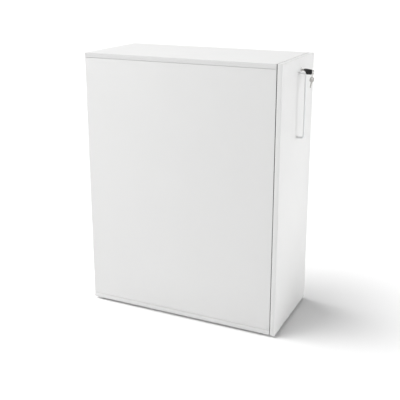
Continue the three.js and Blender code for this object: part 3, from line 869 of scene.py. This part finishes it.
class CABINET_OT_lock(bpy.types.Operator):
    """Makes the lock's housing, nut, core, cam and strike plate"""

    bl_idname = "cabinet.lock"
    bl_label = "Lock"

    def execute(self, context):
        inwards = facing((0, 1, 0), LOCK)
        low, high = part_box("lock_housing")
        rim = FACE - low.y
        bm = bmesh.new()
        wide = (high.x - low.x) / 2
        lathe(bm, [
            (0, -rim + 0.0003), (0.0059, -rim + 0.0003), (0.0061, -rim), (wide - 0.0016, -rim),
            (wide - 0.0004, -rim + 0.0005), (wide, -0.0003), (wide - 0.0004, -0.0001), (0.009, 0),
            (0.009, high.y - FACE - 0.0005), (0.0085, high.y - FACE), (0, high.y - FACE)],
            inwards, 48)
        add_piece("lock_housing_turned", bm, "chrome", "pull_out", "nickel", ["lock_housing"])

        low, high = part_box("lock_core")
        bm = bmesh.new()
        proud = FACE - low.y
        lathe(bm, [(0, -proud), (0.0052, -proud), (0.0057, -proud + 0.0004),
                   (0.0057, high.y - FACE - 0.003), (0, high.y - FACE - 0.003)], inwards, 40)
        keyway = bmesh.new()
        block(keyway, (LOCK.x - 0.0013, low.y - 0.001, LOCK.z - 0.0039),
              (LOCK.x + 0.0013, low.y + 0.02, LOCK.z + 0.0039))
        add_piece("lock_core_turned", carved(bm, keyway), "nickel", "lock_core", "nickel", ["lock_core"])
        keep_node("lock_nut", "nickel", 0.0003)
        for node in ("lock_cam", "cam_screw", "lock_strike_plate"):
            keep_node(node, "zinc", 0.0003)
        return {"FINISHED"}


class CABINET_OT_keys(bpy.types.Operator):
    """Makes the folding key in the lock, its ring and the spare key"""

    bl_idname = "cabinet.keys"
    bl_label = "Keys"

    def execute(self, context):
        keep_node("key_blade", "nickel", 0.0003)
        self.head()
        self.eye()
        self.ring()
        self.spare()
        return {"FINISHED"}

    def head(self):
        """The moulded head, with its knuckle round the hinge pin and a shallow panel on each cheek."""
        low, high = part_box("key_head")
        half = (high.x - low.x) / 2
        hung = upright(HINGE, KEY_DROOP)
        bm = bmesh.new()
        outline = [
            *arc((0, 0), 0.0052, 96, 268, 14), (0.0012, -0.0048), (0.0044, -0.0058),
            *arc((0.0076, -0.0140), 0.0030, 180, 265, 6), *arc((0.0256, -0.0120), 0.0032, 275, 360, 6),
            *arc((0.0250, 0.0008), 0.0038, 0, 84, 6), (0.0120, 0.0050), (0.0060, 0.0052)]
        slab(bm, outline, 2 * half, hung, radius=0.0012, steps=4)
        hollows = bmesh.new()
        panel = rounded(0.0085, 0.0255, -0.0130, 0.0022, 0.003)
        for cheek in (-1, 1):
            slab(hollows, panel, 0.0009, Matrix.Translation((cheek * half, 0, 0)) @ hung)
        slot = [
            (-0.009, 0.0065), (0.0048, 0.0065), *arc((0, 0), 0.0048, 0, -90, 8), (-0.009, -0.0048)]
        slab(hollows, slot, 0.0026, hung)
        add_piece("key_head_moulded", carved(bm, hollows), "key", "key_head", "key", ["key_head"])
        ribs = bmesh.new()
        pitch = 0.0034
        for cheek in (-1, 1):
            place = Matrix.Translation((cheek * (half - 0.0004), 0, 0)) @ hung
            for k in range(4):
                rib = rounded(0.0105, 0.0235, -0.0112 + pitch * k, -0.0100 + pitch * k, 0.0005, 3)
                slab(ribs, rib, 0.0006, place, 0.0002, 2)
        add_piece("key_head_ribs", ribs, "key", "key_head", "key")
        pin = bmesh.new()
        lathe(pin, [(0, -half - 0.0003), (0.0011, -half - 0.0003), (0.0016, -half), (0.0016, half),
                    (0.0011, half + 0.0003), (0, half + 0.0003)], facing((1, 0, 0), HINGE), 24)
        add_piece("key_hinge_pin_turned", pin, "nickel", "key_head", "nickel", ["key_hinge_pin"])

    def eye(self):
        """The steel eye at the end of the head."""
        hung = upright(HINGE, KEY_DROOP)
        bm = bmesh.new()
        slab(bm, rounded(0.0275, 0.0375, -0.0138, 0.0026, 0.0035), 0.002, hung, 0.0004)
        hole = bmesh.new()
        slab(hole, rounded(0.0305, 0.0350, -0.0104, -0.0012, 0.0018), 0.006, hung)
        add_piece("key_eye_pressed", carved(bm, hole), "nickel", "key_head", "nickel", ["key_eye"])

    def ring(self):
        """A split ring: two turns of wire side by side."""
        low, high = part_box("key_ring")
        radius = (high.x - low.x) / 2 - 0.001
        lean = Matrix.Translation(RING_PIVOT) @ Matrix.Rotation(RING_LEAN, 4, "X")
        wire_radius = 0.00052
        turns = 2
        steps = 96
        path = []
        for k in range(steps + 1):
            share = k / steps
            angle = math.pi * 0.3 + 2 * math.pi * turns * share
            across = (share - 0.5) * 2 * wire_radius
            down = radius * (math.sin(angle) - 1)
            path.append(lean @ Vector((radius * math.cos(angle), across, down)))
        bm = bmesh.new()
        tube(bm, path, wire_radius, 10)
        add_piece("key_ring_split", bm, "nickel", "key_ring", "nickel", ["key_ring"])

    def spare(self):
        """A pressed key: a broad rounded bow with a ring hole, and a grooved blade with cuts."""
        low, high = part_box("spare_key")
        hung = upright(SPARE_PIVOT, SPARE_LEAN)
        wide, blade = 0.0088, 0.0023
        top = high.z - SPARE_PIVOT.z
        tip = (low.z - SPARE_PIVOT.z) / math.cos(SPARE_LEAN)
        neck = top - 0.0195
        corner = 0.0062
        right = [
            *arc((wide - corner, top - corner), corner, 88, 0, 7),
            *arc((wide - corner - 0.001, neck + 0.0075), corner + 0.001, 0, -58, 6),
            (0.0034, neck), (blade, neck - 0.0012)]
        cuts = []
        for k, deep in enumerate((0.0006, 0.0011, 0.0004, 0.0012, 0.0008)):
            z = neck - 0.0045 - k * 0.0032
            cuts += [(blade, z), (blade - deep, z - 0.0009), (blade - deep, z - 0.0015),
                     (blade, z - 0.0024)]
        end = [(blade, tip + 0.0022), (0.0007, tip), (-0.0007, tip), (-blade, tip + 0.0022)]
        left = [(-x, z) for x, z in reversed(right)]
        bm = bmesh.new()
        slab(bm, right + cuts + end + left, 0.002, hung, 0.0003)
        tools = bmesh.new()
        hole = arc((0, -0.0011), 0.0024, 0, 345, 23)
        slab(tools, hole, 0.006, hung)
        groove = rounded(-0.0009, -0.0001, tip + 0.002, neck - 0.001, 0.0003, 2)
        for face in (-1, 1):
            slab(tools, groove, 0.0007, Matrix.Translation((face * 0.001, 0, 0)) @ hung)
        add_piece("spare_key_pressed", carved(bm, tools), "nickel", "spare_key", "nickel", ["spare_key"])


# ------------------------------ feet
class CABINET_OT_feet(bpy.types.Operator):
    """Makes the levelling feet, each a ribbed glide on a threaded stem, and their sockets"""

    bl_idname = "cabinet.feet"
    bl_label = "Feet"

    def execute(self, context):
        for end in ENDS:
            for side in SIDES:
                place = f"{end}_{side}"
                self.glide(place)
                keep_node("foot_socket_" + place, "zinc", 0.0003)
        return {"FINISHED"}

    def glide(self, place):
        """A ribbed glide that stands on the floor, on a threaded stem."""
        node = "levelling_foot_" + place
        low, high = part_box(node)
        centre = (low + high) / 2
        radius = (high.x - low.x) / 2
        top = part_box("bottom_panel")[0].z - 0.0014
        bm = bmesh.new()
        base = Matrix.Translation((centre.x, centre.y, 0))
        lathe(bm, [
            (0, 0), (radius - 0.0016, 0), (radius - 0.0006, 0.0004), (radius, 0.0014), (radius, 0.0042),
            (radius - 0.0004, 0.0049), (radius - 0.0022, 0.0055), (radius - 0.003, top - 0.0004),
            (radius - 0.0036, top), (0, top)], base, 48)
        ribs = 24
        for k in range(ribs):
            angle = 2 * math.pi * k / ribs
            spot = Vector((centre.x + (radius - 0.0001) * math.cos(angle),
                           centre.y + (radius - 0.0001) * math.sin(angle), 0))
            block(bm, spot + Vector((-0.0004, -0.0004, 0.0015)),
                  spot + Vector((0.0004, 0.0004, 0.0041)), 0.0002, 1)
        add_piece(node + "_moulded", bm, "foot", "foot_" + place, "foot", [node])
        stem = bmesh.new()
        root, crest, pitch, turns = 0.0034, 0.0039, 0.00125, 12
        profile = [(0, top)]
        for k in range(turns):
            z = top + k * pitch
            profile += [(root, z), (crest, z + pitch / 2)]
        profile += [(root, top + turns * pitch), (0, top + turns * pitch)]
        lathe(stem, profile, base, 24)
        add_piece(f"foot_stem_{place}", stem, "zinc", "foot_" + place, "zinc")


# ------------------------------ stage
class CABINET_OT_stage(bpy.types.Operator):
    """Makes the floor, the light and the camera"""

    bl_idname = "cabinet.stage"
    bl_label = "Stage"

    def execute(self, context):
        stage = settings()[2]
        scene = context.scene
        scene.view_settings.view_transform = "Standard"
        self.floor()
        self.sky(scene, stage.horizon, stage.zenith)
        self.sun("key light", stage.key_from, stage.key_power, stage.key_spread)
        self.sun("front fill", stage.fill_from, stage.fill_power, stage.fill_spread)
        camera = bpy.data.objects.new("camera", bpy.data.cameras.new("camera"))
        scene.collection.objects.link(camera)
        camera.location = stage.position
        camera.rotation_euler = (math.pi / 2 - stage.elevation, 0, stage.azimuth)
        camera.data.lens, camera.data.sensor_width = stage.lens, 36
        camera.data.shift_y = stage.shift
        camera.data.clip_end = 200
        scene.camera = camera
        return {"FINISHED"}

    def floor(self):
        bm = bmesh.new()
        bmesh.ops.create_grid(bm, x_segments=8, y_segments=8, size=30)
        mesh = bpy.data.meshes.new("floor")
        bm.to_mesh(mesh)
        bm.free()
        mesh.materials.append(finish_material(
            "Studio floor", (0.93, 0.93, 0.93), 0.006, (0.8, 0.9), 60, 0.02, cloud=0.7, specular=0.0))
        floor = bpy.data.objects.new("floor", mesh)
        bpy.context.scene.collection.objects.link(floor)

    def sky(self, scene, horizon, zenith):
        """A white surround that is brightest at the horizon, as in a room with pale walls."""
        world = bpy.data.worlds.new("studio")
        world.use_nodes = True
        tree = world.node_tree
        direction = wire(tree, "ShaderNodeTexCoord").outputs["Generated"]
        height = wire(tree, "ShaderNodeSeparateXYZ", {0: direction}).outputs["Z"]
        below = wire(tree, "ShaderNodeMath", {0: 1.0, 1: height}, operation="SUBTRACT", use_clamp=True)
        curve = wire(tree, "ShaderNodeMath", {0: below.outputs[0], 1: 2.0}, operation="POWER")
        strength = wire(tree, "ShaderNodeMapRange", {
            "Value": curve.outputs[0], "To Min": zenith, "To Max": horizon})
        background = tree.nodes["Background"]
        background.inputs["Color"].default_value = (1, 1, 1, 1)
        tree.links.new(strength.outputs["Result"], background.inputs["Strength"])
        scene.world = world

    def sun(self, name, origin, power, spread):
        """A soft, even light from one direction."""
        light = bpy.data.lights.new(name, "SUN")
        light.energy, light.angle = power, spread
        lamp = bpy.data.objects.new(name, light)
        bpy.context.scene.collection.objects.link(lamp)
        lamp.rotation_euler = (-Vector(origin)).to_track_quat("-Z", "Y").to_euler()


# ------------------------------ panel and running
STEPS = ("stage", "boards", "fittings", "trays", "slides", "handle", "lock", "keys", "feet")


class CABINET_PT_panel(bpy.types.Panel):
    """Lists the settings and the steps"""

    bl_label = "Pull-out Cabinet"
    bl_idname = "CABINET_PT_panel"
    bl_space_type = "VIEW_3D"
    bl_region_type = "UI"
    bl_category = "Cabinet"

    def draw(self, context):
        for group in settings():
            box = self.layout.box()
            for key in group.__annotations__:
                box.prop(group, key)
        for step in STEPS:
            self.layout.operator("cabinet." + step)


CLASSES = (
    CabinetSizes, CabinetColours, CabinetStage, CABINET_OT_stage, CABINET_OT_boards,
    CABINET_OT_fittings, CABINET_OT_trays, CABINET_OT_slides, CABINET_OT_handle, CABINET_OT_lock,
    CABINET_OT_keys, CABINET_OT_feet, CABINET_PT_panel,
)


def register():
    for item in CLASSES:
        bpy.utils.register_class(item)
    bpy.types.Scene.cabinet_sizes = bpy.props.PointerProperty(type=CabinetSizes)
    bpy.types.Scene.cabinet_colours = bpy.props.PointerProperty(type=CabinetColours)
    bpy.types.Scene.cabinet_stage = bpy.props.PointerProperty(type=CabinetStage)


def unregister():
    del bpy.types.Scene.cabinet_stage
    del bpy.types.Scene.cabinet_colours
    del bpy.types.Scene.cabinet_sizes
    for item in reversed(CLASSES):
        bpy.utils.unregister_class(item)


def main():
    register()
    for step in STEPS:
        getattr(bpy.ops.cabinet, step)()


if __name__ == "__main__":
    main()
